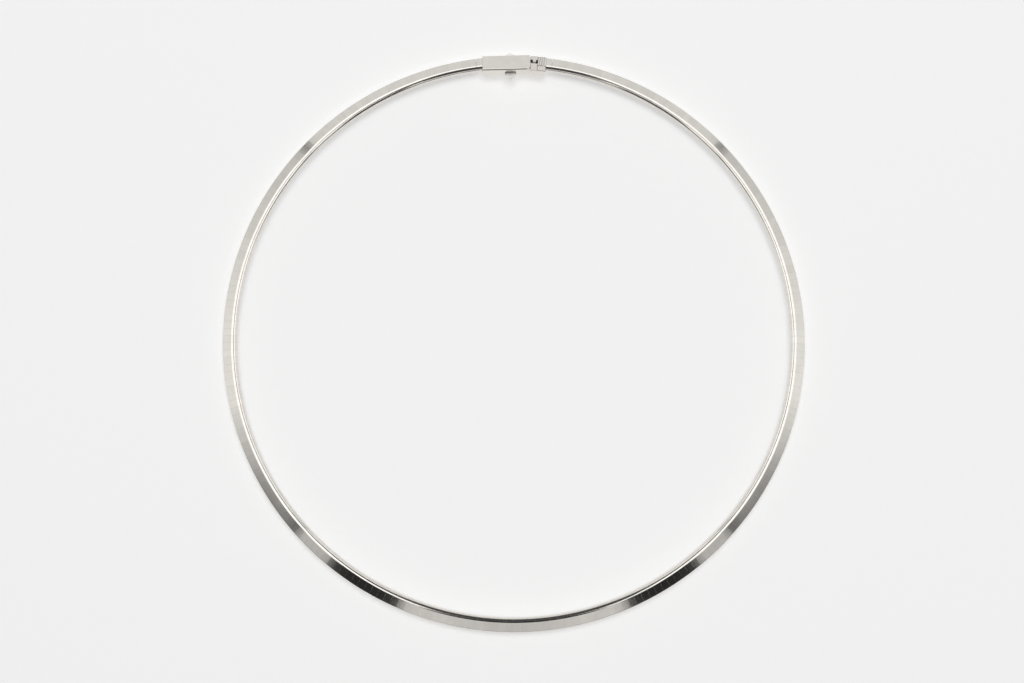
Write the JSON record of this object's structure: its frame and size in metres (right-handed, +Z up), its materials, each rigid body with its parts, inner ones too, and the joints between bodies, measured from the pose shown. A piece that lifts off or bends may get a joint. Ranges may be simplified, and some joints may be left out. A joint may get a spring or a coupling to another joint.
{
  "type": "omega necklace",
  "caption": "Stiff omega necklace: a closed cone-shaped ring of fitted metal plates on a woven core, with a push-button box clasp.",
  "frame": {"origin": "middle of the ring, on the surface that it lies on", "axes": "+Z up off the surface, +Y to the clasp at the back of the neck, +X to the end with the clasp's tongue"},
  "size_m": [0.1374, 0.1387, 0.0047],
  "materials": {
    "plates": "polished with a fine satin grain",
    "core": "woven fine wire, dull",
    "clasp": "satin faces with polished edges",
    "button": "polished"
  },
  "bodies": {
    "necklace": {"plates_left": "plates", "plates_right": "plates", "core": "core", "clasp_box": "clasp", "clasp_tongue": "clasp"},
    "inner_button": {"button_inner": "button"},
    "outer_button": {"button_outer": "button"}
  },
  "joints": [
    {"name": "inner_button_press", "type": "slide", "parent": "necklace", "child": "inner_button", "axis": [-0.0233, 0.8657, -0.5], "range_m": [0, 0.0005], "stiffness_N_per_m": 1000},
    {"name": "outer_button_press", "type": "slide", "parent": "necklace", "child": "outer_button", "axis": [0.0233, -0.8657, 0.5], "range_m": [0, 0.0005], "stiffness_N_per_m": 1000}
  ]
}
